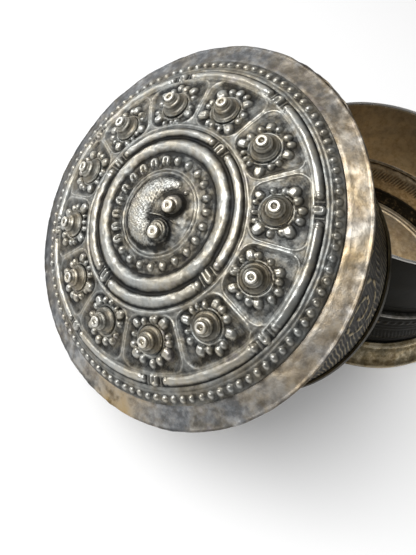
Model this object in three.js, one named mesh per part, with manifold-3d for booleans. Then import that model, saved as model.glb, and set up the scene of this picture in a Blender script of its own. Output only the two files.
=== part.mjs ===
// Round silver incense box: an open base, and its lid leaning back on the base's lip.
// Millimetres, +Z up. The base stands on the table, and the lid in front of it faces -Y and up.

import * as THREE from "three";
import { ConvexGeometry } from "three/addons/geometries/ConvexGeometry.js";
import { mergeVertices } from "three/addons/utils/BufferGeometryUtils.js";
import Module from "manifold-3d";

const wasm = await Module();
wasm.setup();

// Sizes that both halves share

const sheet = 0.9;                // thickness of the silver sheet
const seat_gap = 0.3;             // joint left between pieces that meet
const lid_play = 0.4;             // running gap between the collar and the lid's wall
const wall_radius = 55.9;         // outside of the lid's wall and of the base's band
const flange_reach = 9.1;         // how far the flange and the foot stand out past the wall
const turns = 40;                 // facets round each turned piece
const weld = 0.0001;              // corners closer than this are one corner

// The lean: how far up the mouth's inner edge the base's lip crosses it, and the gap at the two touches

const lip_cross_share = 0.799;
const lean_gap = 0.3;

// Lid: wall, mouth band and flange

const wall_depth = 67;            // from the flange's edge down to the lid's mouth
const mouth_band_thickness = 0.5;
const mouth_band_height = 4.2;
const flange_edge = 0.5;          // half the thickness of the flange's turned edge

// Lid: the domed top

const top_overhang = 1.7;         // the top's edge laps over the flange by this much
const top_rim_height = 3.9;       // the top's edge above the flange's edge
const dome_rise = 10.2;
const dome_power = 3.3;           // how long the dome stays flat before it falls to its edge
const medallion_rise = 1.9;       // swelling under the two commas
const line_height = 0.5;          // chased lines
const line_width = 1.1;
const ridge_height = 1.1;         // plain ring round the medallion
const ridge_width = 2.4;
const pearl_height = 1.1;
const segment_height = 1.3;       // half-round tube segments
const segment_width = 2.7;
const petal_height = 1.1;
const comma_height = 2.4;
const ornament_sink = 0.2;        // ornaments sit this deep, so that their widest part is out of sight

// Places across the top, as shares of its radius

const pearl_ring_share = 0.969;
const outer_line_share = 0.93;
const outer_segment_share = 0.882;
const cell_outer_share = 0.848;
const rosette_share = 0.678;
const cell_inner_share = 0.54;
const inner_segment_share = 0.487;
const ridge_share = 0.392;
const small_petal_share = 0.305;
const medallion_share = 0.238;
const swelling_shares = [0.75, 0.4];
const hollow_shares = [0.93, 0.84, 0.7, 0.5, 0.24, 0.14];

// How often each ornament repeats, and where it starts and ends, in degrees from +X

const pearl_count = 108;
const outer_segment_count = 8;
const inner_segment_count = 4;
const rosette_count = 12;
const small_petal_count = 24;
const outer_stud_turn = 3.5;
const inner_stud_turn = 2.5;
const rosette_turn = 18;
const outer_segment_arc = 33;
const inner_segment_arc = 60;
const outer_segment_steps = 4;
const inner_segment_steps = 6;
const top_turns = 3 * rosette_count;

// Small ornaments: half-widths as shares of the space or band that each one fills

const pearl_fill_share = 0.36;
const stud_length_share = 0.75;
const stud_width_share = 0.5;
const small_petal_length_share = 0.56;
const small_petal_width_share = 0.46;

// One rosette: a boss with petals round it, in shares of the width of its cell

const boss_radius_share = 0.225;
const boss_height_share = 0.22;
const boss_tip_share = 0.31;      // of the boss's own radius
const boss_facets = 8;
const petal_ring_share = 0.315;
const petal_width_share = 0.06;
const round_petal_share = 0.055;
const long_petal_share = 0.085;
const long_petal_reach_share = 1.12;
const long_petal_turns_share = [0.125, 0.375, 0.625, 0.875];
const round_petal_turns_share = [0, 0.06, 0.25, 0.5, 0.75, 0.94];

// Steps of a boss from its foot to its tip, as shares of its radius and its height

const boss_step_shares = [
  [1, 0], [1, 0.12], [0.8, 0.26], [0.82, 0.4], [0.6, 0.55], [0.62, 0.7], [0.4, 0.82],
];

// The two commas of the medallion, in shares of its radius

const comma_ring_share = 0.49;
const comma_reach_share = 0.92;
const comma_head_share = 0.3;
const comma_tail_share = 0.07;
const comma_fall_share = 0.6;
const large_comma_turn = -24;
const large_comma_sweep = 236;
const large_comma_steps = 6;
const small_comma_turn = 61;
const small_comma_sweep = 105;
const small_comma_steps = 4;
const comma_ball_facets = [7, 4];
const comma_stud_share = 0.42;    // of the comma's head
const comma_stud_height = 1.4;
const comma_stud_tip_share = 0.6;
const comma_stud_facets = 8;

// Base

const foot_height = 10.7;
const foot_edge_height = 1;
const foot_edge_width = 1.7;
const floor_height = 6.5;         // top of the floor above the table
const floor_ridge_share = 0.9;
const band_height = 22.9;
const band_line_shares = [0.12, 0.54, 0.86];
const seat_height = 1.6;
const seat_margin = 0.5;          // the seat ring stands out past the lid's mouth
const collar_height = 34.2;
const collar_line_share = 0.1;
const collar_line_depth = 0.3;
const lip_height = 1.5;
const lip_bulge = 0.2;

// Sizes that follow

const flange_radius = wall_radius + flange_reach;
const wall_inner_radius = wall_radius - sheet;
const mouth_outer_radius = wall_radius + seat_gap + mouth_band_thickness;
const top_radius = wall_radius + top_overhang;
const medallion_radius = medallion_share * top_radius;
const cell_width = 2 * Math.PI * rosette_share * top_radius / rosette_count;
const seat_bottom = foot_height + band_height;
const seat_top = seat_bottom + seat_height;
const collar_radius = wall_inner_radius - lid_play;
const collar_inner_radius = collar_radius - sheet;
const collar_top = seat_top + collar_height;
const lip_radius = collar_radius + lip_bulge;
const lip_crown_radius = collar_radius - sheet / 3;
const lip_top = collar_top + lip_height;

const silver = { color: 0x8b867c, roughness: 0.42, metalness: 1 };
const dark_silver = { color: 0x5e5850, roughness: 0.5, metalness: 1 };
const warm_silver = { color: 0x9a8a72, roughness: 0.4, metalness: 1 };

// Helpers for turned bodies, solids and named meshes

function point(radius, height) {
  return new THREE.Vector2(radius, height);
}

// A body turned about Z. Its profile runs anticlockwise, and closes on the axis or on itself.
function turned(profile, facets = turns) {
  const on_axis = profile[0].x === 0 && profile[profile.length - 1].x === 0;
  const outline = on_axis ? profile : [...profile, profile[0].clone()];
  return new THREE.LatheGeometry(outline, facets).rotateX(Math.PI / 2);
}

function solidOf(geometry) {
  const plain = geometry.clone();
  plain.deleteAttribute("normal");
  plain.deleteAttribute("uv");
  const welded = mergeVertices(plain, weld);
  const corners = Array.from(welded.index.array);
  const faces = [];
  for (let i = 0; i < corners.length; i += 3) {
    const [a, b, c] = corners.slice(i, i + 3);
    if (a !== b && b !== c && c !== a) faces.push(a, b, c);
  }
  return new wasm.Manifold(new wasm.Mesh({
    numProp: 3,
    vertProperties: welded.attributes.position.array,
    triVerts: new Uint32Array(faces),
  }));
}

function geometryOf(solid) {
  const mesh = solid.getMesh();
  const geometry = new THREE.BufferGeometry();
  geometry.setAttribute("position", new THREE.BufferAttribute(mesh.vertProperties, mesh.numProp));
  geometry.setIndex(new THREE.BufferAttribute(mesh.triVerts, 1));
  const faceted = geometry.toNonIndexed();
  faceted.computeVertexNormals();
  return faceted;
}

function piece(name, geometry, finish) {
  const mesh = new THREE.Mesh(geometry, new THREE.MeshStandardMaterial(finish));
  mesh.name = name;
  return mesh;
}

// Angles of a ring of copies
function evenly(count, first_degrees) {
  const first = THREE.MathUtils.degToRad(first_degrees);
  return Array.from({ length: count }, (_, i) => first + i * 2 * Math.PI / count);
}

function place(geometry, x, y, z) {
  return geometry.applyMatrix4(new THREE.Matrix4().makeTranslation(x, y, z));
}

// Lid: heights on the dome

function domeHeight(radius) {
  const share = Math.min(radius / top_radius, 1);
  return top_rim_height + dome_rise * (1 - share ** dome_power);
}

// The dome with the swelling of the medallion, which fades out at the medallion's line
function topHeight(radius) {
  const share = Math.min(radius / medallion_radius, 1);
  return domeHeight(radius) + medallion_rise * (1 - share ** 2);
}

// The angle by which the dome falls outward
function topFall(radius) {
  const share = Math.min(radius / top_radius, 1);
  const dome_slope = dome_rise * dome_power * share ** (dome_power - 1) / top_radius;
  const inside = radius < medallion_radius;
  const swelling_slope = inside ? 2 * medallion_rise * radius / medallion_radius ** 2 : 0;
  return Math.atan(dome_slope + swelling_slope);
}

// Three points of the top's profile that raise a ring out of it, from outside in
function raised(share, width, height) {
  const middle = share * top_radius;
  const outside = middle + width / 2;
  const inside = middle - width / 2;
  return [
    point(outside, domeHeight(outside)),
    point(middle, domeHeight(middle) + height),
    point(inside, domeHeight(inside)),
  ];
}

function onProfile(share) {
  return point(share * top_radius, domeHeight(share * top_radius));
}

// Lid: low ornaments. Each is a small closed body sunk half way into the dome.

function knob(half_length, half_width, height) {
  return new THREE.OctahedronGeometry(1).scale(half_length, half_width, height);
}

// Stands a small body square on the dome at a radius and an angle, with its own X pointing outward
function onDome(geometry, radius, angle) {
  const tilted = geometry.clone().rotateY(topFall(radius));
  return place(tilted, radius, 0, topHeight(radius) - ornament_sink).rotateZ(angle);
}

function pearls() {
  const ring = pearl_ring_share * top_radius;
  const half = 2 * Math.PI * ring / pearl_count * pearl_fill_share;
  const pearl = knob(half, half, pearl_height);
  return evenly(pearl_count, rosette_turn).map((angle) => onDome(pearl, ring, angle));
}

// The centre line of a tube segment: an arc on the dome
class DomeArc extends THREE.Curve {
  constructor(radius, middle, arc) {
    super();
    this.radius = radius;
    this.middle = middle;
    this.arc = arc;
  }

  getPoint(t, target = new THREE.Vector3()) {
    const angle = this.middle + (t - 1 / 2) * this.arc;
    const x = this.radius * Math.cos(angle);
    const y = this.radius * Math.sin(angle);
    return target.set(x, y, domeHeight(this.radius) - ornament_sink);
  }
}

// A six-sided section with a corner at each side, square to the dome, so that a rounded rib shows.
// Along the arc its X points down and its Y points to the dome's axis.
function tubeSection(radius) {
  const fall = topFall(radius);
  const corners = evenly(6, 0).map((angle) => {
    const across = segment_width / 2 * Math.cos(angle);
    const up = segment_height * Math.sin(angle);
    return point(
      across * Math.sin(fall) - up * Math.cos(fall), -across * Math.cos(fall) - up * Math.sin(fall));
  });
  return new THREE.Shape(corners);
}

// One half-round tube segment, with a ball off each of its ends
function tubeSegment(radius, middle, arc_degrees, steps) {
  const arc = THREE.MathUtils.degToRad(arc_degrees);
  const ball_arc = segment_width / radius;
  const path = new DomeArc(radius, middle, arc - 2 * ball_arc);
  const options = { steps, bevelEnabled: false, extrudePath: path };
  const tube = new THREE.ExtrudeGeometry(tubeSection(radius), options);
  const ball = knob(segment_width / 2, segment_width / 2, segment_height);
  const ends = [-1, 1].map((side) => onDome(ball, radius, middle + side * (arc - ball_arc) / 2));
  return [tube, ...ends];
}

function segmentRing(share, count, arc_degrees, first_stud, steps) {
  const radius = share * top_radius;
  const stud = knob(segment_width * stud_length_share, segment_width * stud_width_share, petal_height);
  return evenly(count, first_stud).flatMap((angle) => [
    onDome(stud, radius, angle),
    ...tubeSegment(radius, angle + Math.PI / count, arc_degrees, steps),
  ]);
}

// One petal of a rosette: half its length, how far out it lies and its turn round the boss
function rosettePetal(half_length, reach, turn_share, rosette_angle) {
  const turn = turn_share * 2 * Math.PI;
  const x = rosette_share * top_radius + reach * Math.cos(turn);
  const y = reach * Math.sin(turn);
  const radius = Math.hypot(x, y);
  const around = Math.atan2(y, x);
  const petal = knob(half_length, cell_width * petal_width_share, petal_height).rotateZ(turn - around);
  return onDome(petal, radius, rosette_angle + around);
}

function rosettePetals(angle) {
  const ring = petal_ring_share * cell_width;
  return [
    ...long_petal_turns_share.map((turn) => rosettePetal(
      long_petal_share * cell_width, long_petal_reach_share * ring, turn, angle)),
    ...round_petal_turns_share.map((turn) => rosettePetal(
      round_petal_share * cell_width, ring, turn, angle)),
  ];
}

// The raised rib between two rosettes' cells, which follows the fall of the dome
function cellRib(angle) {
  const inside = cell_inner_share * top_radius;
  const outside = cell_outer_share * top_radius;
  const middle = (inside + outside) / 2;
  const fall = Math.atan2(domeHeight(inside) - domeHeight(outside), outside - inside);
  const half_length = (outside - inside) / 2 / Math.cos(fall);
  const rib = knob(half_length, line_width / 2, line_height).rotateY(fall);
  return place(rib, middle, 0, domeHeight(middle)).rotateZ(angle);
}

// One ball of a comma, at a share of the way from its head to its tail
function commaBall(head_turn, sweep_degrees, t) {
  const angle = THREE.MathUtils.degToRad(head_turn - t * sweep_degrees);
  const size = THREE.MathUtils.lerp(comma_head_share, comma_tail_share, t) * medallion_radius;
  const tail_ring = comma_reach_share * medallion_radius - size;
  const ring = THREE.MathUtils.lerp(comma_ring_share * medallion_radius, tail_ring, t);
  const ball = new THREE.SphereGeometry(1, ...comma_ball_facets).rotateX(Math.PI / 2);
  return onDome(ball.scale(size, size, comma_height * (1 - t * comma_fall_share)), ring, angle);
}

function cornersOf(geometry) {
  const position = geometry.attributes.position;
  return Array.from({ length: position.count }, (_, i) => new THREE.Vector3().fromBufferAttribute(position, i));
}

// A comma is a row of shrinking balls, each joined to the next by the skin stretched round the two.
function comma(head_turn, sweep_degrees, steps) {
  return Array.from({ length: steps }, (_, i) => new ConvexGeometry([
    ...cornersOf(commaBall(head_turn, sweep_degrees, i / steps)),
    ...cornersOf(commaBall(head_turn, sweep_degrees, (i + 1) / steps)),
  ]));
}

// Lid: the domed top, with every ornament raised out of one sheet and hollow behind

function topBlank() {
  return turned([
    point(0, 0),
    point(top_radius, 0),
    point(top_radius, top_rim_height),
    ...raised(outer_line_share, line_width, line_height),
    ...raised(cell_outer_share, line_width, line_height),
    onProfile(rosette_share),
    ...raised(cell_inner_share, line_width, line_height),
    ...raised(ridge_share, ridge_width, ridge_height),
    ...raised(medallion_share, line_width, line_height),
    ...swelling_shares.map((share) => point(share * medallion_radius, topHeight(share * medallion_radius))),
    point(0, topHeight(0)),
  ], top_turns).rotateZ(THREE.MathUtils.degToRad(rosette_turn + 180 / top_turns));
}

function topHollow() {
  const past_edge = top_radius + sheet;
  const under = top_rim_height - sheet;
  return turned([
    point(0, -sheet),
    point(past_edge, -sheet),
    point(past_edge, under),
    point(top_radius, under),
    ...hollow_shares.map((share) => point(share * top_radius, topHeight(share * top_radius) - sheet)),
    point(0, topHeight(0) - sheet),
  ], top_turns).rotateZ(THREE.MathUtils.degToRad(rosette_turn + 180 / top_turns));
}

function lidTop() {
  const small_petal = knob(
    segment_width * small_petal_length_share, segment_width * small_petal_width_share, petal_height);
  const ornaments = [
    ...pearls(),
    ...segmentRing(outer_segment_share, outer_segment_count, outer_segment_arc, outer_stud_turn,
      outer_segment_steps),
    ...segmentRing(inner_segment_share, inner_segment_count, inner_segment_arc, inner_stud_turn,
      inner_segment_steps),
    ...evenly(rosette_count, rosette_turn).flatMap(rosettePetals),
    ...evenly(rosette_count, rosette_turn + 180 / rosette_count).map(cellRib),
    ...evenly(small_petal_count, 0).map((angle) => onDome(small_petal, small_petal_share * top_radius, angle)),
    ...comma(large_comma_turn, large_comma_sweep, large_comma_steps),
    ...comma(small_comma_turn, small_comma_sweep, small_comma_steps),
  ];
  const relief = ornaments.reduce((whole, ornament) => whole.add(solidOf(ornament)), solidOf(topBlank()));
  return piece("lid_top", geometryOf(relief.subtract(solidOf(topHollow()))), silver);
}

// Lid: the flange is a plain cone of sheet that laps under the top and ends in a turned edge

function lidFlange() {
  const inner = wall_radius + seat_gap;
  const upper = top_rim_height - sheet - seat_gap;
  return piece("lid_flange", turned([
    point(inner, upper - sheet),
    point(flange_radius - 3 * flange_edge, -flange_edge),
    point(flange_radius - flange_edge, -flange_edge),
    point(flange_radius, 0),
    point(flange_radius - flange_edge, flange_edge),
    point(top_radius, upper),
    point(inner, upper),
  ]), warm_silver);
}

function lidWall() {
  const top = domeHeight(wall_radius) - sheet - 2 * seat_gap;
  return piece("lid_wall", turned([
    point(wall_inner_radius, -wall_depth),
    point(wall_radius, -wall_depth),
    point(wall_radius, top),
    point(wall_inner_radius, top),
  ]), dark_silver);
}

function lidMouthBand() {
  const inner = wall_radius + seat_gap;
  return piece("lid_mouth_band", turned([
    point(inner, -wall_depth),
    point(mouth_outer_radius, -wall_depth),
    point(mouth_outer_radius, mouth_band_height - wall_depth - mouth_band_thickness),
    point(inner, mouth_band_height - wall_depth),
  ]), warm_silver);
}

// Lid: a boss is a stepped cone, ringed at each step, with a hole in its tip

function bossGeometry() {
  const radius = cell_width * boss_radius_share;
  const height = cell_width * boss_height_share;
  const tip = radius * boss_tip_share;
  return turned([
    point(0, 0),
    ...boss_step_shares.map(([across, up]) => point(across * radius, up * height)),
    point(tip, height),
    point(tip / 2, height),
    point(0, height - tip),
  ], boss_facets);
}

// A boss stands square to the dome, its flat foot just clear of the dome's crown under it.
function boss(name, angle) {
  const ring = rosette_share * top_radius;
  const radius = cell_width * boss_radius_share;
  const fall = Math.atan2(domeHeight(ring - radius) - domeHeight(ring + radius), 2 * radius);
  const mesh = piece(name, bossGeometry(), silver);
  mesh.position.set(ring * Math.cos(angle), ring * Math.sin(angle), domeHeight(ring) + seat_gap / Math.cos(fall));
  mesh.rotation.set(0, fall, angle, "ZYX");
  return mesh;
}

// Lid: the stud in the head of a comma

function commaStud(name, turn_degrees) {
  const angle = THREE.MathUtils.degToRad(turn_degrees);
  const ring = comma_ring_share * medallion_radius;
  const radius = comma_head_share * medallion_radius * comma_stud_share;
  const mesh = piece(name, turned([
    point(0, 0),
    point(radius, 0),
    point(radius, comma_stud_height / 2),
    point(radius * comma_stud_tip_share, comma_stud_height),
    point(0, comma_stud_height * comma_stud_tip_share),
  ], comma_stud_facets), silver);
  mesh.position.set(ring * Math.cos(angle), ring * Math.sin(angle), topHeight(ring) + comma_height + seat_gap);
  return mesh;
}

// Base: the pieces, from the table up

// The foot: a flared cone of sheet whose upper edge clasps the band
function baseFoot() {
  const inner = wall_radius + seat_gap;
  return piece("base_foot", turned([
    point(flange_radius - foot_edge_width, 0),
    point(flange_radius, 0),
    point(flange_radius, foot_edge_height),
    point(inner + sheet, foot_height),
    point(inner, foot_height),
    point(inner, foot_height - foot_edge_height),
  ]), warm_silver);
}

// The floor: a disc let into the lower end of the band, with a chased ring near its edge
function baseFloor() {
  const radius = wall_inner_radius - seat_gap;
  const ridge = wall_inner_radius * floor_ridge_share;
  return piece("base_floor", turned([
    point(0, floor_height - sheet),
    point(radius, floor_height - sheet),
    point(radius, floor_height),
    point(ridge + line_width, floor_height),
    point(ridge, floor_height + line_height),
    point(ridge - line_width, floor_height),
    point(0, floor_height),
  ]), warm_silver);
}

// The band: the cylinder that the floor closes, with chased lines between the foot and the seat ring
function baseBand() {
  const lines = band_line_shares.flatMap((share) => {
    const height = foot_height + share * band_height;
    return [
      point(wall_radius, height - line_width / 2),
      point(wall_radius + line_height, height),
      point(wall_radius, height + line_width / 2),
    ];
  });
  return piece("base_band", turned([
    point(wall_inner_radius, floor_height - sheet),
    point(wall_radius, floor_height - sheet),
    ...lines,
    point(wall_radius, seat_bottom),
    point(wall_inner_radius, seat_bottom),
  ]), dark_silver);
}

// The seat ring: the moulding that the lid's mouth comes down on when the box is shut
function baseSeatRing() {
  const outer = mouth_outer_radius + seat_margin;
  return piece("base_seat_ring", turned([
    point(collar_inner_radius, seat_bottom),
    point(wall_radius, seat_bottom),
    point(outer, seat_bottom + seat_height / 3),
    point(outer, seat_top - seat_height / 3),
    point(mouth_outer_radius, seat_top),
    point(collar_inner_radius, seat_top),
  ]), silver);
}

// The collar: the plain tube that the lid's wall slides over, with one chased line near its foot
function baseCollar() {
  const line = seat_top + collar_line_share * collar_height;
  return piece("base_collar", turned([
    point(collar_inner_radius, seat_top),
    point(collar_radius, seat_top),
    point(collar_radius, line - collar_line_depth),
    point(collar_radius - collar_line_depth, line),
    point(collar_radius, line + collar_line_depth),
    point(collar_radius, collar_top),
    point(collar_inner_radius, collar_top),
  ]), dark_silver);
}

// The lip: a rounded bead along the collar's edge
function baseLipBead() {
  const inner = collar_inner_radius - lip_bulge;
  const middle = collar_top + lip_height / 2;
  return piece("base_lip_bead", turned([
    point(inner, collar_top),
    point(collar_radius, collar_top),
    point(lip_radius, middle),
    point(lip_crown_radius, lip_top),
    point(collar_inner_radius + sheet / 3, lip_top),
    point(inner, middle),
  ]), silver);
}

// Where the lid leans: its mouth stands on the table, and the mouth's inner edge, at the flats between
// its corners, crosses the crown of the base's lip left and right. That gives the angle of its wall too.
function lidPlace() {
  const rest_radius = wall_inner_radius * Math.cos(Math.PI / turns) - lean_gap;
  const reach = lip_crown_radius + lean_gap;
  const lean = Math.acos(lip_top / (mouth_outer_radius + lip_cross_share * rest_radius));
  const mouth_height = mouth_outer_radius * Math.cos(lean);
  const half_span = rest_radius * Math.sqrt(1 - lip_cross_share ** 2);
  const across = Math.sqrt(reach ** 2 - half_span ** 2);
  const mouth_back = rest_radius * lip_cross_share * Math.sin(lean) + across;
  return {
    tilt: Math.PI / 2 - lean,
    y: -mouth_back - wall_depth * Math.cos(lean),
    z: mouth_height + wall_depth * Math.sin(lean),
  };
}

// The two halves

function makeBase() {
  const base = new THREE.Group();
  base.add(baseFoot(), baseFloor(), baseBand(), baseSeatRing(), baseCollar(), baseLipBead());
  return base;
}

function makeLid() {
  const lid = new THREE.Group();
  lid.add(lidTop(), lidFlange(), lidWall(), lidMouthBand());
  evenly(rosette_count, rosette_turn).forEach((angle, i) => {
    lid.add(boss(`lid_boss_${String(i + 1).padStart(2, "0")}`, angle));
  });
  lid.add(commaStud("lid_stud_large_comma", large_comma_turn));
  lid.add(commaStud("lid_stud_small_comma", small_comma_turn));
  const { tilt, y, z } = lidPlace();
  lid.position.set(0, y, z);
  lid.rotation.x = tilt;
  return lid;
}

const box = new THREE.Group();
box.add(makeBase(), makeLid());

// The origin is on the table, in the middle of the room that the two halves take up.
const room = new THREE.Box3().setFromObject(box, true);
box.position.y = -(room.min.y + room.max.y) / 2;

export default box;
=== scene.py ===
# %% [markdown]
# A round silver incense box, open, with its lid leaning on the base
#
# The real box is two cups of silver sheet. The base stands on a flared foot, and a plain collar rises out
# of it. The lid is a deep cup with a wide flange and a low dome. It stands on the table on its mouth and
# leans back on the lip of the base, so that the dome shows all its chased ornament.
#
# Silver sheet is chased from the front and bossed out from behind. That leaves one skin whose height
# changes from place to place, with no part of it undercut. So the rich pieces here are height maps:
# a fine ring-shaped grid of points, whose heights a few functions work out. It could be sculpted by hand
# as well, but a function keeps twelve rosettes and a hundred and eight pearls even and easy to change.

# %% The tools and the measured model
import math

import bpy
import numpy as np
from mathutils import Matrix, Vector


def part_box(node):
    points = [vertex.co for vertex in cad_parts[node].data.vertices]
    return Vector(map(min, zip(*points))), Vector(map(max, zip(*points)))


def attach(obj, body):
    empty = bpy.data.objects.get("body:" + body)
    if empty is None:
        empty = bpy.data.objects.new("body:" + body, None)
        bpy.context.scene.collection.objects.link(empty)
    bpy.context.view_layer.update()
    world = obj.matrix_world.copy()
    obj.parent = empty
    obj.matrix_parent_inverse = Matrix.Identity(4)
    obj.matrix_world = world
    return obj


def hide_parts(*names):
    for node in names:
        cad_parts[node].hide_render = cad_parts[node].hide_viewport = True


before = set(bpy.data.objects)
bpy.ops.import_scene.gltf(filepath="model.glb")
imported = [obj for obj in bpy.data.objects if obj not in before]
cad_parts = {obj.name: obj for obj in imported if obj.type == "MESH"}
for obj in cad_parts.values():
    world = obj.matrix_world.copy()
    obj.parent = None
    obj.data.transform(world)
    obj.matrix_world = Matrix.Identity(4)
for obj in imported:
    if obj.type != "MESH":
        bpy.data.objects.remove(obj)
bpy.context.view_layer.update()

# %% [markdown]
# The sizes of the box
#
# Every length below is in millimetres, read off the measured model. The base turns about a vertical axis.
# The lid turns about its own axis, and its zero height is the edge of its flange, so a point of the lid is
# written as if the lid lay flat on its back. One matrix then leans the whole lid.

# %% Sizes
MM = 0.001
sheet = 0.9
wall_radius = 55.9
wall_inner_radius = wall_radius - sheet
flange_radius = 65.0
top_radius = 57.6
rim_height = 3.9
dome_rise = 10.2
dome_power = 3.3
wall_depth = 67.0
mouth_radius = 56.7
mouth_band_height = 4.2

foot_height = 10.7
floor_height = 6.5
seat_bottom = 33.6
seat_top = 35.2
seat_radius = 57.2
collar_radius = 54.6
collar_inner_radius = 53.7
collar_top = 69.4
lip_top = 70.9

# %% [markdown]
# Where the two halves stand
#
# The foot of the base is a ring on the table, so the middle of its box lies on the base's axis. The edge
# of the flange is a flat ring too. The middle of its box is the middle of that ring, and the box's two
# sides give the angle at which the ring leans, so nothing has to be guessed.

# %% Places of the base and the lid
foot_low, foot_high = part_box("base_foot")
base_place = Matrix.Translation((0, (foot_low.y + foot_high.y) / 2, 0))
ring_low, ring_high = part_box("lid_flange")
lean = math.atan2(ring_high.z - ring_low.z, ring_high.y - ring_low.y)
lid_place = Matrix.Translation((ring_low + ring_high) / 2) @ Matrix.Rotation(lean, 4, "X")
print("base axis, mm:", round(base_place.translation.y / MM, 2))
print("lid ring, mm:", [round(value / MM, 2) for value in lid_place.translation])
print("lean, degrees:", round(math.degrees(lean), 2))

# %% [markdown]
# Colours and shader nodes
#
# A colour is written as the sRGB hex value that a colour picker shows, and the shaders want linear light,
# so one function converts it. A second function adds any shader node, sets its options and joins its
# inputs, because a material is easier to read as a list of nodes than as a list of clicks.

# %% Helpers for colours and nodes
def linear(code):
    """A colour written as sRGB hex, in linear light."""
    channels = [int(code[i:i + 2], 16) / 255 for i in (1, 3, 5)]
    return (*(c / 12.92 if c <= 0.04045 else ((c + 0.055) / 1.055) ** 2.4 for c in channels), 1.0)


def add(tree, kind, inputs=None, **settings):
    """Adds a node of that kind. An input is given a value, or the output of another node."""
    made = tree.nodes.new("ShaderNode" + kind)
    for name, value in settings.items():
        setattr(made, name, value)
    for name, value in (inputs or {}).items():
        socket = made.inputs[name]
        if isinstance(value, bpy.types.NodeSocket):
            tree.links.new(value, socket)
        else:
            socket.default_value = value
    return made


def blank_material(name):
    """A new material with its output node only."""
    material = bpy.data.materials.new(name)
    material.use_nodes = True
    material.node_tree.nodes.clear()
    return material, material.node_tree, material.node_tree.nodes.new("ShaderNodeOutputMaterial")


print("helpers for colours and nodes are ready")

# %% [markdown]
# Old silver
#
# Every piece is sheet silver, shaped with hammers and punches and left to tarnish for many years. Tarnish
# is a film of silver sulphide: thin it is golden, thicker it is brown-grey, and in a hollow that no cloth
# reaches it is nearly black. The tops of the relief are rubbed, so they are bright and smooth.
#
# One recipe makes all the finishes, because on the real box they differ only in how much was rubbed off.
# Each mesh carries a value per point, "rubbed", that is worked out from its relief: 0 in a hollow and 1 on
# a crest. In some places the value also carries painted light: painted sheen and painted shade on the
# flange, painted highlights on the large comma, the tips of the bosses and the lip of the base, and painted
# shade round the two studs and under the ridge inside the band. The colour and the roughness follow it,
# together with a mottling some 3 mm wide and a fine grain left by the hammer and the polishing cloth. The
# grain is really about 0.1 mm, and is drawn at 0.5 mm so that it shows at all. A thin film of tarnish has a
# colour of its own, blue, gold or rose by its thickness, so blotches some 9 mm wide tint the metal. A second
# value, "gilded", adds gold where hands have kept the film thin.

# %% Tarnished silver
blotch_width = 9.091
mottle_width = 2.941
grain_width = 0.5
grain_depth = 0.05
film_tints = ((0.36, "#acb8c4"), (0.46, "#bcbcbc"), (0.58, "#c0aa7c"), (0.68, "#b6a4a6"))
gold_tint = "#c8a24e"


def tarnished_silver(name, hollow, middle, crest, film, roughness, patchy=0.7):
    """Sheet silver whose hollows, plain parts and crests have these colours."""
    material, tree, output = blank_material(name)
    place = add(tree, "TexCoord").outputs["Object"]
    rubbed = add(tree, "Attribute", attribute_name="rubbed").outputs["Fac"]
    gilded = add(tree, "Attribute", attribute_name="gilded").outputs["Fac"]
    blotch = add(tree, "TexNoise", {"Vector": place, "Scale": 1 / (blotch_width * MM), "Detail": 5.0,
                                    "Roughness": 0.7})
    mottle = add(tree, "TexNoise", {"Vector": place, "Scale": 1 / (mottle_width * MM), "Detail": 4.0,
                                    "Roughness": 0.7})
    grain = add(tree, "TexNoise", {"Vector": place, "Scale": 1 / (grain_width * MM), "Detail": 2.0})
    uneven = add(tree, "Math", {0: mottle.outputs["Fac"], 1: -0.5}, operation="ADD")
    wear = add(tree, "Math", {0: uneven.outputs[0], 1: patchy, 2: rubbed}, operation="MULTIPLY_ADD")
    ramp = add(tree, "ValToRGB", {"Fac": wear.outputs[0]})
    tints = add(tree, "ValToRGB", {"Fac": blotch.outputs["Fac"]})
    for node, stops in ((ramp, ((0.2, hollow), (0.5, middle), (0.8, crest))), (tints, film_tints)):
        for _ in stops[2:]:
            node.color_ramp.elements.new(0.5)
        for element, (at, colour) in zip(node.color_ramp.elements, stops):
            element.position = at
            element.color = linear(colour)
    tinted = add(tree, "Mix", {0: film, 6: ramp.outputs["Color"], 7: tints.outputs["Color"]},
                 data_type="RGBA", blend_type="SOFT_LIGHT")
    golden = add(tree, "Mix", {0: gilded, 6: tinted.outputs[2], 7: linear(gold_tint)},
                 data_type="RGBA", blend_type="SOFT_LIGHT")
    dull = add(tree, "MapRange", {"Value": wear.outputs[0], "From Min": 0.0, "From Max": 1.0,
                                  "To Min": roughness + 0.22, "To Max": roughness})
    fine = add(tree, "Math", {0: grain.outputs["Fac"], 1: mottle.outputs["Fac"]}, operation="ADD")
    bump = add(tree, "Bump", {"Height": fine.outputs[0], "Strength": 1.0, "Distance": grain_depth * MM})
    metal = add(tree, "BsdfPrincipled", {
        "Base Color": golden.outputs[2], "Metallic": 1.0, "Roughness": dull.outputs[0],
        "Normal": bump.outputs["Normal"]})
    tree.links.new(metal.outputs["BSDF"], output.inputs["Surface"])
    print("finish:", name)
    return material


# Chased from the front and bossed out from behind, then rubbed: grey crests over nearly black hollows.
chased_silver = tarnished_silver("chased_silver", "#2f2f2e", "#787772", "#a6a59f", 0.4, 0.33)
# Small turned cones, whose tips every cloth and hand rubs first: nearly white there, partly as a painted
# highlight, and brown below.
boss_silver = tarnished_silver("worn_boss_silver", "#403e3a", "#7e7a70", "#d2cfc6", 0.4, 0.3)
# Smoothed with a flat hammer and held by many hands: a soft grey sheen, with golden patches.
flange_silver = tarnished_silver("plain_hammered_silver", "#464646", "#656565", "#9c9c9b", 0.4, 0.34, 0.8)
# Cut with a graver. Dirt and tarnish fill the cuts, so it is nearly black between thin pale lines.
engraved_silver = tarnished_silver("engraved_dark_silver", "#14110b", "#363022", "#887b5a", 0.3, 0.38)
# Hammered and heated, and never polished inside: a warm, matt brown.
inner_silver = tarnished_silver("unpolished_inner_silver", "#44392e", "#a4947d", "#d2c4ac", 0.3, 0.5)
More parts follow.
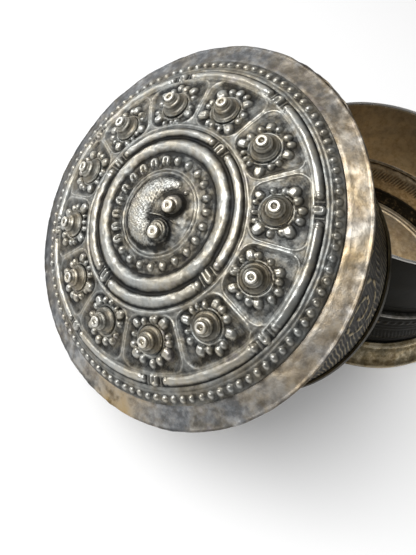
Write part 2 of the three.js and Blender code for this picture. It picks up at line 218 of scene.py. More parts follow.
# Smooth sheet that no cloth has reached for years: black on the outside, and still glossy.
collar_silver = tarnished_silver("dark_collar_silver", "#1f1e1b", "#85765f", "#c6b89f", 0.2, 0.28, 0.6)
# Hammered to a flare, and worn by the tables that it stood on: glossy and golden, in patches.
foot_silver = tarnished_silver("worn_foot_silver", "#383126", "#85795f", "#d2c5ab", 0.4, 0.2, 1.0)
# Mouldings and lips, pressed smooth with a burnisher: thin lines of light.
edge_silver = tarnished_silver("burnished_edge_silver", "#35322e", "#74716b", "#b8b6b2", 0.2, 0.25)

# %% [markdown]
# Meshes from rings of points
#
# Every silver piece here is a ring of equal sections, so its points form a grid: one column for each
# section, and one row for each step along it. The columns always join up round the ring. The rows of a
# turned piece join up as well, and the rows of a skin don't: a skin that reaches the axis is closed there
# by one tiny face. Rows run anticlockwise, seen with the axis on the left, so every face looks outward.

# %% Grid to mesh
def grid_piece(name, points, rubbed, finish, place, closed=False, gilded=0.0):
    """A smooth mesh from points[row, column] in millimetres, put in its place."""
    rows, columns = points.shape[:2]
    index = np.arange(rows * columns).reshape(rows, columns)
    lower = index if closed else index[:-1]
    upper = np.roll(index, -1, axis=0) if closed else index[1:]
    corners = [lower, np.roll(lower, -1, axis=1), np.roll(upper, -1, axis=1), upper]
    faces = np.stack(corners, axis=-1).reshape(-1, 4).tolist()
    span = np.hypot(points[:, 0, 0], points[:, 0, 1])
    if not closed and span[0] < 0.1:
        faces.append(index[0][::-1].tolist())
    if not closed and span[-1] < 0.1:
        faces.append(index[-1].tolist())
    mesh = bpy.data.meshes.new(name)
    mesh.from_pydata((points.reshape(-1, 3) * MM).tolist(), [], faces)
    for layer, amount in (("rubbed", rubbed), ("gilded", gilded)):
        values = np.broadcast_to(amount, (rows, columns)).astype(np.float32).reshape(-1)
        mesh.attributes.new(layer, "FLOAT", "POINT").data.foreach_set("value", values)
    mesh.transform(place)
    mesh.polygons.foreach_set("use_smooth", np.ones(len(mesh.polygons), bool))
    mesh.materials.append(finish)
    made = bpy.data.objects.new(name, mesh)
    bpy.context.collection.objects.link(made)
    print(name, len(faces), "faces")
    return made


def ring_of_sections(radius, height, angle):
    """Points from radii and heights in rows, turned to angles in columns."""
    shape = np.broadcast_shapes(radius.shape, height.shape, angle.shape)
    return np.stack([
        np.broadcast_to(radius * np.cos(angle), shape),
        np.broadcast_to(radius * np.sin(angle), shape),
        np.broadcast_to(height, shape)], axis=-1)


def angles(columns):
    """The angles of the columns, as one row."""
    return np.arange(columns)[None, :] * 2 * np.pi / columns


print("a ring of eight columns turns by", round(math.degrees(angles(8)[0, 1])), "degrees a column")

# %% [markdown]
# Rounded sections, and how a cloth rubs them
#
# Hand-raised silver has no sharp corner, so each corner of a section is replaced by a short curve. Where a
# piece carries ornament its section is also cut into short steps, so that there are points to raise.
#
# To know what a polishing cloth reaches, the height is compared with the average height round about. A
# point above its surroundings is rubbed bright, and one below them keeps its tarnish.

# %% Sections and rubbing
cloth_reach = 1.6
dent_width = 11.0
# A table of random values is this many places wide, and then it repeats.
tile = 64


def rounded(profile, radius, steps=3):
    """The closed profile with every corner replaced by a small curve."""
    corners = np.array(profile, float)
    before = np.roll(corners, 1, axis=0) - corners
    after = np.roll(corners, -1, axis=0) - corners
    softened = []
    for corner, back, on in zip(corners, before, after):
        start = corner + back * min(radius / np.linalg.norm(back), 0.45)
        end = corner + on * min(radius / np.linalg.norm(on), 0.45)
        for t in np.linspace(0, 1, steps + 1):
            softened.append((1 - t) ** 2 * start + 2 * t * (1 - t) * corner + t ** 2 * end)
    return np.array(softened)


def stepped(profile, longest):
    """The closed profile with no side longer than that."""
    points = []
    for start, end in zip(profile, np.roll(profile, -1, axis=0)):
        count = max(1, math.ceil(np.linalg.norm(end - start) / longest))
        points.extend(start + (end - start) * i / count for i in range(count))
    return np.array(points)


def blurred(height, rows_reach, columns_reach):
    """The height averaged over its neighbours. The reach along each row is counted in columns."""
    count, columns = height.shape
    waves = np.fft.rfftfreq(columns)
    keep = np.exp(-2 * (np.pi * np.outer(columns_reach, waves)) ** 2)
    smooth = np.fft.irfft(np.fft.rfft(height, axis=1) * keep, columns, axis=1)
    apart = np.subtract.outer(np.arange(count), np.arange(count)) / rows_reach
    weight = np.exp(-apart ** 2 / 2)
    return weight / weight.sum(axis=1, keepdims=True) @ smooth


def rubbed_by_cloth(height, radius, row_step, depth=1.1, plain=0.5):
    """How bright each point is: plain where it is level with what surrounds it."""
    column_step = 2 * np.pi * np.maximum(radius.reshape(-1), 0.5) / height.shape[1]
    columns_reach = np.minimum(cloth_reach / column_step, height.shape[1] / 8)
    around = blurred(height, cloth_reach / row_step, columns_reach)
    return np.clip(plain + (height - around) / depth, 0, 1)


def uneven(x, y, size, seed):
    """Gentle hills and hollows between -1 and 1, about that wide: what the hammer leaves."""
    random = np.random.default_rng(seed).uniform(-1, 1, (tile, tile))
    column, row = np.floor(x / size).astype(int), np.floor(y / size).astype(int)
    u, v = x / size - column, y / size - row
    u, v = u * u * (3 - 2 * u), v * v * (3 - 2 * v)
    this, beside = column % tile, (column + 1) % tile
    near = random[row % tile, this] * (1 - u) + random[row % tile, beside] * u
    far = random[(row + 1) % tile, this] * (1 - u) + random[(row + 1) % tile, beside] * u
    return near * (1 - v) + far * v


def uneven_round(radius, angle, height, size, seed):
    """The same on a ring, where it has to join up again."""
    return uneven(radius * np.cos(angle) + height, radius * np.sin(angle) - height, size, seed)


def turned_piece(name, profile, columns, finish, place, relief=None, rubbed=0.55, dents=0.0,
                 bend=None, sheen_and_gold=None, depth=0.6):
    """A ring turned from a closed profile. relief(angle, height, radius) raises it along its normals."""
    profile = np.array(profile, float)
    along = np.roll(profile, -1, axis=0) - np.roll(profile, 1, axis=0)
    along /= np.linalg.norm(along, axis=1, keepdims=True)
    radius, height = profile[:, :1], profile[:, 1:]
    angle = angles(columns)
    raised = relief(angle, height, radius) if relief else np.zeros((len(profile), columns))
    lift = raised + dents * uneven_round(radius, angle, height, dent_width, seed=1)
    reach = radius + lift * along[:, 1:]
    points = ring_of_sections(bend(reach, angle) if bend else reach, height - lift * along[:, :1], angle)
    if relief:
        rubbed = rubbed_by_cloth(raised, radius, row_step=0.6, depth=depth, plain=rubbed)
    gilded = 0.0
    # Painted sheen and painted shade, and gold, where a piece has them.
    if sheen_and_gold:
        brighter, gilded = sheen_and_gold(angle, height, radius)
        rubbed = np.clip(rubbed + brighter, 0, 1)
    return grid_piece(name, points, rubbed, finish, place, closed=True, gilded=gilded)


print("points round a square with rounded corners:", len(rounded([(0, 0), (1, 0), (1, 1), (0, 1)], 0.2)))

# %% [markdown]
# The chased top of the lid
#
# The dome is flat in its middle and falls ever faster toward its edge. Everything on it sits in rings:
# pearls along the edge, half-round tubes between upright studs, twelve rosettes in their own panels, four
# more tubes, a plain ridge, a ring of small petals, and in the middle a domed medallion with two commas.
#
# Each ornament is a function of how far a point is from the ornament's own middle line. Where ornaments
# meet, the higher one wins, as it does when two punches overlap. Hand work is never quite even, so each
# copy differs a little in place and height, from a seeded table.

# %% Measures of the top
pearl_ring = 55.8
pearl_count = 108
edge_lines = (53.1, 54.2)
outer_tube_ring = 50.8
outer_tube_count = 8
outer_stud_turn = 3.5
panel_lines = (49.25, 30.9)
rosette_count = 12
rosette_turn = 18.0
rosette_ring = 0.678 * top_radius
panel_outer = 48.7
panel_inner = 31.6
inner_tube_ring = 28.0
inner_tube_count = 4
inner_stud_turn = 2.5
ridge_ring = 23.0
petal_ring = 17.5
petal_count = 24
medallion_lines = (14.5, 13.4)
medallion_radius = 13.7
medallion_rise = 1.9
print("pearls, mm apart:", round(2 * math.pi * pearl_ring / pearl_count, 2))


def dome(radius):
    """Height of the plain dome."""
    return rim_height + dome_rise * (1 - np.minimum(radius / top_radius, 1) ** dome_power)


def swollen(radius):
    """Height of the dome with the swelling of the medallion."""
    return dome(radius) + medallion_rise * (1 - np.minimum(radius / medallion_radius, 1) ** 2)


def half_round(distance, half_width):
    """A rounded section: 1 on its crest, and 0 from half a width away."""
    return np.clip(1 - (distance / half_width) ** 2, 0, 1) ** 0.75


def hand(copy, seed, spread):
    """How far each copy of an ornament is off, by hand."""
    return np.random.default_rng(seed).normal(0, spread, 256)[copy]


def nearest_copy(angle, count, first_degrees):
    """The turn from the nearest copy in a ring, and the number of that copy."""
    step = 2 * np.pi / count
    past = angle - math.radians(first_degrees)
    copy = np.round(past / step)
    return past - copy * step, copy.astype(int) % count


# %% [markdown]
# Pearls, lines and tubes
#
# A pearl is struck from behind with a round punch, so it is a small dome. A line is left standing where
# the sheet was pressed down on both sides of it. A tube is a long half-round swelling, worked into a groove
# and closed by a ball at each end, and between two tubes stands a stud with a bar on either side. Curves
# swept along a circle would give such forms too, but heights melt into the sheet as the real ones do.

# %% Pearls, lines and tubes
def pearls(radius, angle):
    """The row of small domes along the edge."""
    turn, copy = nearest_copy(angle, pearl_count, rosette_turn)
    along = radius * turn + hand(copy, 1, 0.08)
    out = radius - pearl_ring + hand(copy, 2, 0.08)
    size = 1.1 + hand(copy, 3, 0.05)
    return (1.0 + hand(copy, 4, 0.07)) * half_round(np.hypot(along, out), size)


def ring_line(radius, ring, half_width=0.45, height=0.4):
    """A thin line all the way round."""
    return height * half_round(radius - ring, half_width)


def horseshoe(out, along, length, width, wall):
    """Distance from the raised rim of a petal that was struck as a U, closed at its outer end."""
    bend = width / 2 - wall
    crown = length / 2 - width / 2
    leg = np.abs(np.abs(along) - bend)
    foot = np.maximum(wall - length / 2 - out, 0)
    return np.where(out > crown, np.abs(np.hypot(out - crown, along) - bend), np.hypot(leg, foot))


def petal(out, along, length, width, wall, height, middle=0.2):
    """A U-shaped petal. Its middle is lower: that share of its height."""
    inside = np.hypot(out / length, along / width) * 2
    return np.maximum(height * half_round(horseshoe(out, along, length, width, wall), wall),
                      middle * height * half_round(inside, 0.95))


def tube_ring(radius, angle, ring, count, first, half_width, height, seed):
    """Half-round tubes between studs. Each end has a ball, and each stud is a petal between two bars."""
    turn, copy = nearest_copy(angle, count, first)
    along, out = ring * turn, radius - ring
    tube_end = 5.7
    ball_inset = 1.4
    bar_place = 2.4
    past = np.maximum(tube_end - np.abs(along), 0)
    tube = height * half_round(np.hypot(past, out), half_width)
    from_ball = np.hypot(np.abs(along) - tube_end + ball_inset, out)
    ball = 1.05 * height * half_round(from_ball, half_width * 0.85)
    bars = 0.3 * height * half_round(np.abs(along) - bar_place, 0.35) * (np.abs(out) < half_width)
    stud = petal(out, along, length=2.6 * half_width, width=3.0, wall=0.75, height=0.95 * height)
    worked = tube * (1 - 0.12 * uneven(along + 40 * copy, out, 2.0, seed))
    return np.maximum.reduce([np.where(past > 0.7, 0, worked), ball, bars, stud])


print("outer tubes, mm from stud to stud:", round(2 * math.pi * outer_tube_ring / outer_tube_count, 1))

# %% [markdown]
# Rosettes
#
# A rosette is struck round each boss: long petals toward the corners of its panel, small beads at the
# sides and toward the middle, and a fan of three larger ones toward the edge of the lid. The panel's frame
# is a thin raised line with round corners, and the ground inside it is beaten down and matted with a small
# punch, so it stays dark. The petals could be modelled once and copied, but worked out as heights, each of
# the twelve rosettes comes out a little different.

# %% Rosettes and their panels
# Each petal: degrees round the boss, reach from it, length and width. Each bead: degrees, reach and size.
petal_plan = [(50, 7.2, 3.5, 3.2), (-50, 7.2, 3.5, 3.2), (129, 7.2, 3.7, 3.3), (-129, 7.2, 3.7, 3.3)]
bead_plan = [
    (0, 7.3, 1.4), (24, 7.1, 1.35), (-24, 7.1, 1.35), (77, 6.7, 1.2), (102, 6.5, 1.15), (-77, 6.7, 1.2),
    (-102, 6.5, 1.15), (158, 6.4, 1.1), (-158, 6.4, 1.1), (180, 6.2, 0.95),
]
boss_ring = 5.1
panel_corner = 4.0
panel_gap = 0.5
panel_ground = -0.4
panel_slope = 1.4
print("petals and beads in a rosette:", len(petal_plan + bead_plan))


def turned_to(out, along, degrees, reach):
    """Places seen from a petal that lies that way and that far from the boss."""
    turn = np.radians(degrees)
    return (out * np.cos(turn) + along * np.sin(turn) - reach,
            along * np.cos(turn) - out * np.sin(turn))


def rosettes(radius, angle):
    """A fine ring round each boss, and the petals and beads outside it."""
    turn, copy = nearest_copy(angle, rosette_count, rosette_turn)
    along = radius * np.sin(turn) + hand(copy, 11, 0.12)
    out = radius * np.cos(turn) - rosette_ring + hand(copy, 12, 0.12)
    highest = 0.35 * half_round(np.hypot(out, along) - boss_ring, 0.4)
    for number, (degrees, reach, *size) in enumerate(petal_plan + bead_plan):
        at_out, at_along = turned_to(out, along, degrees + hand(copy, 100 + number, 3.5),
                                     reach + hand(copy, 120 + number, 0.22))
        scale = 1 + hand(copy, 140 + number, 0.08)
        if len(size) == 2:
            struck = petal(at_out / scale, at_along / scale, *size, wall=1.15, height=1.4, middle=0.5)
        else:
            struck = 1.3 * half_round(np.hypot(at_out / 1.15, at_along) / scale, size[0])
        highest = np.maximum(highest, struck)
    return highest


def panel_distance(radius, angle):
    """Distance from the frame of the nearest panel: below zero inside it."""
    turn, _ = nearest_copy(angle, rosette_count, rosette_turn)
    side = np.abs(radius * turn) - (radius * math.pi / rosette_count - panel_gap - panel_corner)
    middle, half_depth = (panel_outer + panel_inner) / 2, (panel_outer - panel_inner) / 2
    end = np.abs(radius - middle) - (half_depth - panel_corner)
    outside = np.hypot(np.maximum(side, 0), np.maximum(end, 0))
    return outside + np.minimum(np.maximum(side, end), 0) - panel_corner


def panels(radius, angle):
    """The ground that is beaten down inside each panel, and the raised frame round it."""
    distance = panel_distance(radius, angle)
    ground = panel_ground * np.clip(-distance / panel_slope, 0, 1)
    return ground, 0.2 * half_round(distance, 0.4)


# %% [markdown]
# The medallion
#
# Two commas chase each other round a low swelling. The large one is stippled all over with a point, the
# small one is plain, and a thin line winds between them. Each comma is a row of shrinking mounds whose
# middles follow an arc. Its head is a steep cone with rings round it, under a small stud, and the flanks
# round the stud are painted dark, as shade.

# %% Commas
large_comma = {"turn": -24, "sweep": 236, "head": 4.4, "tail": 1.6, "belly": 2.4, "height": 2.4}
small_comma = {"turn": 61, "sweep": 120, "head": 3.7, "tail": 1.8, "belly": 1.2, "height": 0.5}
comma_ring = 0.49 * medallion_radius
pit_spacing = 0.95
print("commas, mm from the middle:", round(comma_ring, 2))


def comma(x, y, turn, sweep, head, tail, belly, height):
    """Height of a comma, from its head at that turn clockwise to its tail, swollen by belly half way."""
    highest = np.zeros(x.shape)
    for t in np.linspace(0, 1, 48):
        size = head + (tail - head) * t + belly * math.sin(math.pi * t ** 1.6)
        ring = comma_ring + (0.9 * medallion_radius - size - comma_ring) * min(2.5 * t, 1)
        angle = math.radians(turn - t * sweep)
        away = np.hypot(x - ring * math.cos(angle), y - ring * math.sin(angle))
        mound = np.clip(1 - (away / size) ** 2, 0, 1)
        highest = np.maximum(highest, height * (1 - 0.6 * t) * mound ** 0.8)
    return highest


def stippled(x, y, spacing, seed):
    """Small round pits, one somewhere in each square of that width: 1 in the middle of a pit."""
    shift = np.random.default_rng(seed).uniform(0.2, 0.8, (2, tile, tile))
    column, row = np.floor(x / spacing).astype(int), np.floor(y / spacing).astype(int)
    nearest = np.full(x.shape, 9.0)
    for i in (-1, 0, 1):
        for j in (-1, 0, 1):
            square = (row + j) % tile, (column + i) % tile
            u = column + i + shift[0][square] - x / spacing
            v = row + j + shift[1][square] - y / spacing
            nearest = np.minimum(nearest, np.hypot(u, v))
    return np.clip(1 - (nearest / 0.4) ** 2, 0, 1)


def comma_head(x, y, turn, size):
    """A steep cone with fine rings round it, under the stud in a comma's head."""
    angle = math.radians(turn)
    away = np.hypot(x - comma_ring * math.cos(angle), y - comma_ring * math.sin(angle))
    cone = 2.4 * np.clip((size - away) / (size - 2.2), 0, 1) ** 0.8
    return cone + 0.12 * np.cos(away * 2 * np.pi / 0.75) * (away < size) * (away > 2.3)


def medallion(radius, angle):
    """Both commas, the bead beside them and the thin line that winds between them."""
    x, y = radius * np.cos(angle), radius * np.sin(angle)
    large, small = comma(x, y, **large_comma), comma(x, y, **small_comma)
    pits = 0.32 * stippled(x, y, pit_spacing, 21) * (large > 0.3) * (large >= small)
    bead = 1.0 * half_round(np.hypot(x - 2.6, y - 11.2), 0.9)
    heads = np.maximum(comma_head(x, y, large_comma["turn"], size=4.6),
                       comma_head(x, y, small_comma["turn"], size=4.0))
    winding = np.abs(y + 1.0 - 0.47 * x - 0.6 * np.sin(x / 2.4)) + 9 * ((x < -1) | (x > 8))
    return np.maximum.reduce([large - pits, small, bead, heads, 0.6 * half_round(winding, 0.5)])


# %% [markdown]
# A lid that is out of round
#
# Hands and falls have bent the lid: its edge is stretched toward one side and slightly three-cornered, and
# the rings of the middle were set out a little off centre. The bend grows from the rosettes to the edge.

# %% How the lid is bent
middle_shift = (-0.6, 0.7)
edge_growth = 0.45
edge_bends = ((1, 0.56, -41), (2, 0.92, -19.5), (3, 0.65, -16.5))


def bent(radius, angle):
    """The radius at which a point of the round lid really lies."""
    share = np.clip((radius - 40) / (flange_radius - 40), 0, 1) ** 1.2
    stretch = edge_growth + sum(
        size * np.cos(lobes * (angle - math.radians(toward))) for lobes, size, toward in edge_bends)
    return radius + share * stretch


def set_off_centre(radius, angle):
    """Where a point of the lid lies on the maker's drawing, whose middle is off centre."""
    share = np.clip((31 - radius) / 6, 0, 1)
    x = radius * np.cos(angle) - middle_shift[0] * share
    y = radius * np.sin(angle) - middle_shift[1] * share
    return np.hypot(x, y), np.arctan2(y, x)


reached = bent(flange_radius, angles(360))
print("the flange's edge lies between", round(reached.min(), 1), "and", round(reached.max(), 1), "mm out")

# %% [markdown]
# All the rings together
#
# Every ring of ornament gives a height at each point, and the highest one stands. What was beaten down or
# cut in comes off again: the ground of the panels, two grooves beside the plain ridge, and the pits of the
# matting punch. The hammer's own unevenness lies over it all. The top could be one mesh, but in three zones
# each gets as many points as its ornament needs.

# %% All the relief of the top
pearl_border = 54.3
ridge_grooves = (25.9, 20.2)
medallion_edge = 13.2
matting_width = 0.7
streak_width = 0.7
stud_flank = 4.6


def small_petals(radius, angle):
    """The ring of small petals round the medallion, which are plain beads on one side."""
    turn, copy = nearest_copy(angle, petal_count, 0)
    along, out = radius * np.sin(turn), radius * np.cos(turn) - petal_ring
    struck = petal(out, along, length=3.5, width=3.3, wall=0.8, height=1.3)
    away = np.hypot(out / 1.15, along + hand(copy, 36, 0.15))
    bead = (1.5 + hand(copy, 35, 0.12)) * half_round(away, 1.45)
    return np.where(np.cos(copy * 2 * np.pi / petal_count - math.radians(197)) > 0.37, struck, bead)


def top_relief(radius, angle):
    """Height of all the chased work above the plain dome, at radii in rows and angles in columns."""
    radius, angle = set_off_centre(radius, angle)
    ground, frames = panels(radius, angle)
    in_panels = (radius > panel_lines[1]) & (radius < panel_lines[0])
    ground = np.where(in_panels, ground, 0)
    raised = [
        np.where(radius > pearl_border, pearls(radius, angle), 0),
        *(ring_line(radius, ring, half_width=0.5, height=0.2) for ring in edge_lines),
        tube_ring(radius, angle, outer_tube_ring, outer_tube_count, outer_stud_turn,
                  half_width=1.4, height=1.15, seed=31),
        *(ring_line(radius, ring) for ring in panel_lines),
        np.where(in_panels, np.maximum(rosettes(radius, angle), frames), 0),
        tube_ring(radius, angle, inner_tube_ring, inner_tube_count, inner_stud_turn,
                  half_width=1.7, height=1.15, seed=32),
        half_round(radius - ridge_ring, half_width=2.4) ** 1.4,
        *(ring_line(radius, ring, half_width=0.35, height=0.3) for ring in medallion_lines),
        np.where(radius < medallion_edge, medallion(radius, angle), 0),
        small_petals(radius, angle),
    ]
    grooves = sum(0.18 * half_round(radius - at, 0.45) for at in ridge_grooves)
    x, y = radius * np.cos(angle), radius * np.sin(angle)
    matted = 0.07 * stippled(x, y, matting_width, 22) * (ground < panel_ground / 2)
    round_once = angle * tile * streak_width / (2 * np.pi)
    streaks = 0.1 * uneven(round_once, radius, streak_width, 24) * (ground > panel_ground / 2)
    hammered = 0.12 * uneven(x, y, 5.0, 23) + 0.07 * uneven(x, y, 1.3, 25)
    return np.maximum.reduce(raised) + ground - grooves - matted + streaks + hammered


def comma_highlight_and_stud_shade(radius, angle):
    """Painted light on the medallion: a painted highlight on the back of the large comma, and painted shade
    on the flanks round the two studs.
    """
    radius, angle = set_off_centre(radius, angle)
    x, y = radius * np.cos(angle), radius * np.sin(angle)
    # A painted highlight on the back of the large comma.
    painted_light = 0.2 * np.clip(comma(x, y, **large_comma) - 0.5, 0, 1)
    # Painted shade on the flanks round each stud.
    for shape in (large_comma, small_comma):
        turn = math.radians(shape["turn"])
        away = np.hypot(x - comma_ring * math.cos(turn), y - comma_ring * math.sin(turn))
        painted_light = np.where(away < stud_flank, -0.4 * np.clip((stud_flank - away) / 1.2, 0, 1), painted_light)
    return painted_light


def top_skin(name, outer, inner, step, columns, depth):
    """One ring of the top, from its outer radius in to its inner one. The outermost has the sheet's edge."""
    count = round((outer - inner) / step) + 1
    radius = np.linspace(outer, inner, count)[:, None]
    angle = angles(columns)
    relief = top_relief(radius, angle)
    rubbed = rubbed_by_cloth(relief, radius, step, depth=depth)
    # The medallion's painted highlight and painted shade are added here.
    rubbed = np.clip(rubbed + comma_highlight_and_stud_shade(radius, angle), 0, 1)
    height = swollen(radius) + relief
    if outer == top_radius:
        edge = np.array([(56.2, 3.0), (57.4, 3.0), (57.58, 3.12), (57.6, 3.6)])
        radius = radius - 0.04
        height = np.concatenate([edge[:, 1:] + 0 * angle, swollen(radius) + relief])
        radius = np.concatenate([edge[:, :1], radius])
        rubbed = np.concatenate([np.full((len(edge), columns), 0.45), rubbed])
    points = ring_of_sections(bent(radius, angle), height, angle)
    return grid_piece(name, points, rubbed, chased_silver, lid_place)


seams = (52.45, 30.0)
border = top_skin("lid_top_border", top_radius, seams[0], 0.26, 1440, depth=1.3)
rosette_zone = top_skin("lid_top_rosettes", seams[0], seams[1], 0.3, 1296, depth=1.3)
middle_zone = top_skin("lid_top_middle", seams[1], 0.05, 0.3, 960, depth=1.25)

# %% [markdown]
# Behind the relief
#
# The back of bossed silver shows the same forms as hollows, softened by the thickness of the sheet. It is
# seen only through the open mouth of the lid, so a coarser grid is enough, with the relief blurred.

# %% The inside of the top
def top_inside():
    """The hollows that the raised forms leave behind them, from the middle out to the wall."""
    columns = 360
    radius = np.linspace(0.05, 56.0, 90)[:, None]
    angle = angles(columns)
    columns_reach = np.minimum(0.9 * columns / (2 * np.pi * radius.ravel()), 30)
    relief = blurred(top_relief(radius, angle), 1.2, columns_reach)
    height = swollen(radius) - sheet - 0.25 + 0.75 * np.minimum(relief, 0.9)
    rubbed = rubbed_by_cloth(-relief, radius, row_step=0.6, plain=0.4)
    points = ring_of_sections(radius, height, angle)
    return grid_piece("lid_top_inside", points, rubbed, inner_silver, lid_place)


inside = top_inside()
for part in (border, rosette_zone, middle_zone, inside):
    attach(part, "lid")
    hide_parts("lid_top")

# %% [markdown]
# Bosses
#
# Twelve stepped cones stand on the dome, one in each rosette, and a small stud stands in the head of each
# comma. They are turned, so each is one section spun round, with a ring and a hole at the tip, and the tip
# is
# coloured bright: worn, and a painted highlight as well. The Screw modifier could spin them as well, but a
# grid carries the wear and the painted highlight with it. A boss stands square to the dome under it, which
# falls by some thirteen degrees there.

# %% Bosses and studs
boss_radius = 4.6
boss_lift = 0.1
stud_lift = 2.65
boss_columns = 48
boss_section = [
    (0.05, -0.6), (4.5, -0.6), (4.5, 0.3), (4.1, 0.7), (3.7, 0.8), (3.4, 1.3), (3.05, 1.75), (3.0, 2.2),
    (2.75, 2.55), (2.35, 2.7), (2.1, 3.2), (1.75, 3.5), (1.85, 4.15), (1.6, 4.5), (0.95, 4.5), (0.65, 4.2),
    (0.6, 3.5), (0.05, 3.4),
]
stud_section = [
    (0.05, -0.6), (2.3, -0.6), (2.3, 0.2), (2.15, 0.7), (1.95, 1.1), (1.6, 1.35), (0.9, 1.35), (0.55, 1.1),
    (0.45, 0.7), (0.05, 0.65),
]


def turned_boss(name, section, place, painted_sheen):
    """A small cone spun from its section: dark in its steps, bright on its rings, and brightest at its tip,
    which is worn and also carries a painted highlight.
    """
    profile = np.array(section)
    curve = [profile[0]]
    for before, corner, after in zip(profile, profile[1:], profile[2:]):
        curve += [(before + 3 * corner) / 4, (3 * corner + after) / 4]
    curve = np.array([*curve, profile[-1]])
    beyond = np.convolve(np.pad(curve[:, 0], 2, mode="edge"), np.ones(5) / 5, mode="valid")
    upward = np.clip(curve[:, 1] / curve[:, 1].max(), 0, 1)
    # The top of the cone is worn bright, and carries a painted highlight as well.
    rubbed = np.clip(0.42 + (curve[:, 0] - beyond) * 1.8 + painted_sheen * upward ** 3, 0, 1)
    radius, height = curve[:, :1], curve[:, 1:]
    angle = angles(boss_columns)
    points = ring_of_sections(radius, height + 0 * angle, angle)
    return grid_piece(name, points, rubbed[:, None], boss_silver, place)


def on_dome(radius, angle, height, fall):
    """A place on the lid, tilted outward by fall."""
    spin = Matrix.Rotation(angle, 4, "Z")
    outward = Matrix.Translation((radius * MM, 0, height * MM)) @ Matrix.Rotation(fall, 4, "Y")
    return lid_place @ spin @ outward


boss_fall = math.atan2(dome(rosette_ring - boss_radius) - dome(rosette_ring + boss_radius), 2 * boss_radius)
print("the dome falls under a boss by, degrees:", round(math.degrees(boss_fall), 1))
for number in range(rosette_count):
    angle = math.radians(rosette_turn) + number * 2 * math.pi / rosette_count
    name = f"lid_boss_{number + 1:02d}"
    place = on_dome(rosette_ring, angle, dome(rosette_ring) + boss_lift, boss_fall)
    boss = turned_boss(f"{name}_turned", boss_section, place, painted_sheen=0.36)
    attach(boss, "lid")
    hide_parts(name)
for size, shape in (("large", large_comma), ("small", small_comma)):
    place = on_dome(comma_ring, math.radians(shape["turn"]), swollen(comma_ring) + stud_lift, 0)
    stud = turned_boss(f"lid_stud_{size}_turned", stud_section, place, painted_sheen=0.6)
    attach(stud, "lid")
    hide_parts(f"lid_stud_{size}_comma")

# %% [markdown]
# The flange
#
# The flange is a plain cone of sheet round the top, with a turned edge. Fingers have held it for years, so
# it is dented, waved and mottled with gold. One chased line runs round it near the top. Three sizes of
# dents are added up, because a hand leaves long waves as well as small knocks. A bump in the material would
# be simpler, but only real dents bend the reflections and the outline alike.

# %% Flange
flange_line = 58.6
# Each size of dent: how wide, how deep, and its seed.
flange_dents = ((9.0, 0.3, 41), (3.4, 0.16, 42), (1.5, 0.06, 44))


def flange_relief(angle, height, radius):
    """The chased line, and dents that go through the sheet: a hollow above is a swelling below."""
    outside = height > 0.1
    line = 0.05 * half_round(radius - flange_line, 0.5)
    dents = sum(deep * uneven_round(radius, angle, 0, wide, seed) for wide, deep, seed in flange_dents)
    return np.where(outside, line, 0) + np.where(outside, dents, -dents)


flange_section = stepped(rounded([
    (56.2, 1.9), (63.6, -0.45), (64.4, -0.5), (65.0, 0.0), (64.5, 0.5), (63.9, 0.42), (57.5, 2.72),
    (56.2, 2.75)], 0.35), 0.45)

# Places round the flange: degrees round, half width in degrees, painted sheen (below zero, painted shade)
# and gold.
flange_sheen_and_gold_places = ((45, 26, 0.25, 0.6), (300, 11, 0.15, 0.9), (5, 20, 0.15, 0.3), (200, 40, -0.35, 0.0),
           (290, 35, 0.15, 0.0), (85, 20, 0.0, 0.35))


def flange_sheen_and_gold(angle, height, radius):
    """The painted sheen, the painted shade and the gold at each place round the flange. The very edge is
    painted a little darker, as shade.
    """
    brighter = -0.15 * half_round(radius - 64.8, 0.9) + 0 * angle
    gilded = np.zeros(brighter.shape)
    patchy = 0.75 + 0.5 * uneven_round(radius, angle, 0, 6.0, 43)
    # Painted sheen round each listed place, and painted shade where its value is below zero.
    for degrees, width, painted_sheen, gold in flange_sheen_and_gold_places:
        apart = np.degrees(np.angle(np.exp(1j * (angle - math.radians(degrees)))))
        near = np.exp(-(apart / width) ** 2) * patchy
        brighter, gilded = brighter + painted_sheen * near, gilded + gold * near
    return brighter, np.clip(gilded, 0, 1)


flange = turned_piece("lid_flange_dented", flange_section, 720, flange_silver, lid_place, flange_relief,
                      bend=bent, sheen_and_gold=flange_sheen_and_gold)
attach(flange, "lid")
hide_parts("lid_flange")

# %% [markdown]
# The engraved wall of the lid
#
# The wall is a tube of sheet. Between two plain borders it is covered with scrollwork that was cut with a
# graver: a waving stem, a spiral of leaves in each bend, and slanting strokes in the ground between them.
# The cuts are a few tenths of a millimetre deep. They could be a texture, but cut into the mesh they catch
# the light from any side.

# %% Scrollwork
scroll_count = 8
scroll_turn = 2.0
scroll_middle = -34.5
scroll_half = 27.5
spiral_points = 110
stroke_count = 190
ground_depth = 0.3


def spiral():
    """Points of one spiral of foliage in a bend of the stem, from outside in, and how wide it is there."""
    t = np.linspace(0, 1, spiral_points)
    reach = 15.0 * (1 - 0.85 * t)
    turn = math.radians(200) + t * math.radians(720)
    width = 0.35 + 1.3 * np.abs(np.sin(t * 19 * np.pi)) ** 2 * (1 - 0.4 * t)
    return reach * np.cos(turn), reach * np.sin(turn), width


def scrollwork(along, up):
    """How high the foliage stands at a place on the wall."""
    period = 2 * np.pi * wall_radius / scroll_count
    along = along - math.radians(scroll_turn) * wall_radius
    copy = np.floor(along / period)
    side = np.where(copy % 2 == 0, -1, 1)
    along = along - (copy + 0.5) * period
    up = up * side
    highest = 0.8 * half_round(up + 13.5 * np.cos(along / period * np.pi) - 2.0, 1.2)
    for x, y, width in zip(*spiral()):
        highest = np.maximum(highest, half_round(np.hypot(along - x, up - y - 9.0), width))
    return highest


